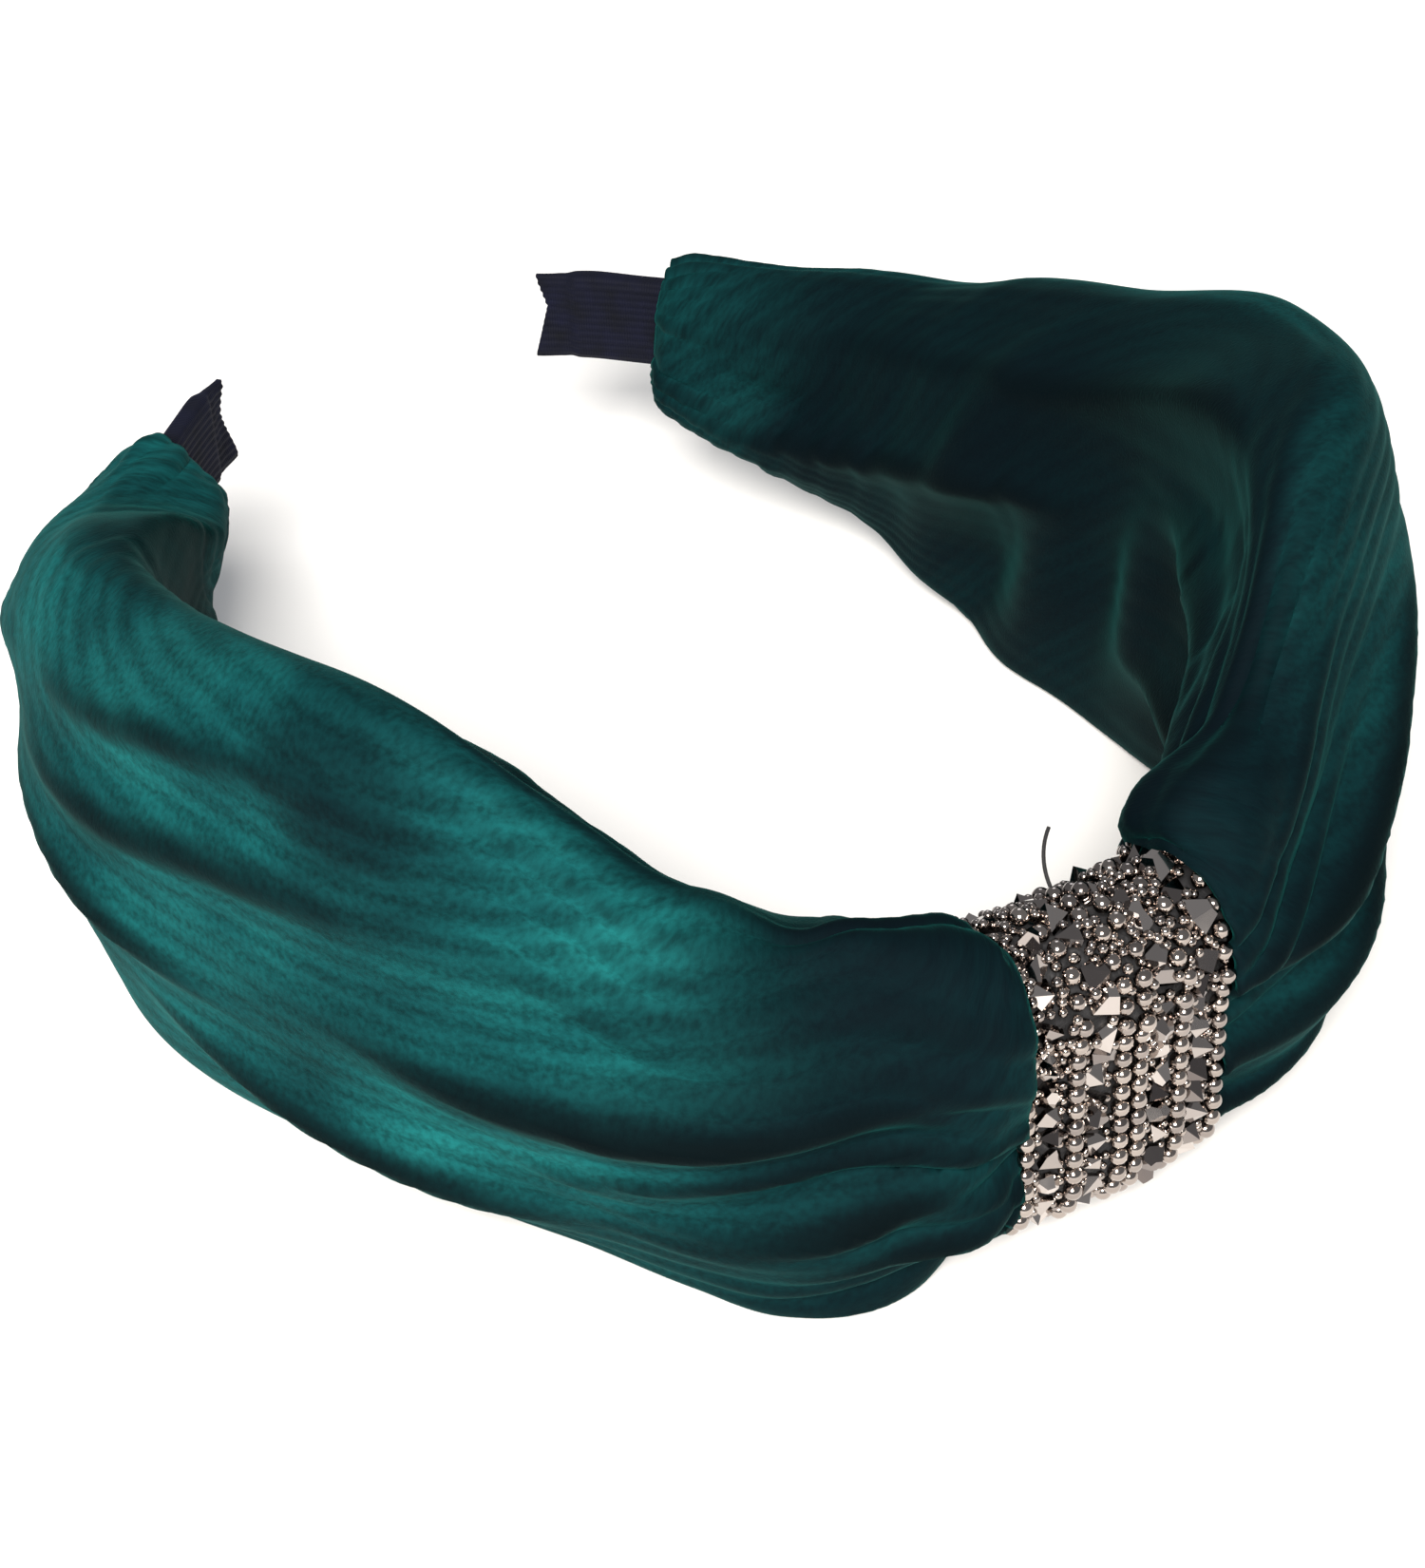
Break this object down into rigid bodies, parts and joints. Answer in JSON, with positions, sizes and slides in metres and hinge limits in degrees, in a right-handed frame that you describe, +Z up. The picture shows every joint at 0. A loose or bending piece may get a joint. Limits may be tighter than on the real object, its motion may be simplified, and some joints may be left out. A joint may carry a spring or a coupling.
{
  "type": "knotted velvet headband",
  "caption": "Wide padded velvet headband on a springy plastic core, pinched at the crown by a beaded strap, with ribbon-covered tips.",
  "frame": {"origin": "on the table under the middle of the headband's box, with the headband lying on its lower edge", "axes": "+Z up across the band's width; +Y from the crown towards the two open tips; +X to the right when seen from the crown"},
  "size_m": [0.145, 0.1614, 0.0665],
  "materials": {
    "core_plastic": "moulded black plastic strip",
    "ribbon": "navy-black ribbon with fine lengthwise ribs",
    "glue": "hardened hot glue",
    "velvet": "crushed emerald velvet, bright at grazing angles",
    "strap_mesh": "charcoal tulle backing, heat-set",
    "thread": "black sewing thread",
    "beads": "moulded balls plated in warm gunmetal",
    "stones": "faceted glass with a smoky mirror coating"
  },
  "bodies": {
    "crown": {"core_crown": "core_plastic", "velvet_pinch": "velvet", "strap_backing": "strap_mesh", "strap_lap": "strap_mesh", "strap_stitches": "thread", "bead_row_1": "beads", "bead_row_2": "beads", "bead_row_3": "beads", "bead_row_4": "beads", "bead_row_5": "beads", "bead_row_6": "beads", "stone_row_1": "stones", "stone_row_2": "stones", "stone_row_3": "stones", "stone_row_4": "stones", "seed_beads": "beads"},
    "left_arm": {"core_left": "core_plastic", "tip_sleeve_left": "ribbon", "tip_glue_left": "glue", "velvet_wing_left": "velvet"},
    "right_arm": {"core_right": "core_plastic", "tip_sleeve_right": "ribbon", "tip_glue_right": "glue", "velvet_wing_right": "velvet"}
  },
  "joints": [
    {"name": "left_flex", "type": "hinge", "parent": "crown", "child": "left_arm", "pos_m": [-0.01385, -0.07051, 0.0285], "axis": [0, 0, 1], "range_deg": [-5, 15], "stiffness_Nm_per_rad": 1.2},
    {"name": "right_flex", "type": "hinge", "parent": "crown", "child": "right_arm", "pos_m": [0.01385, -0.07051, 0.0285], "axis": [0, 0, -1], "range_deg": [-5, 15], "stiffness_Nm_per_rad": 1.2}
  ]
}
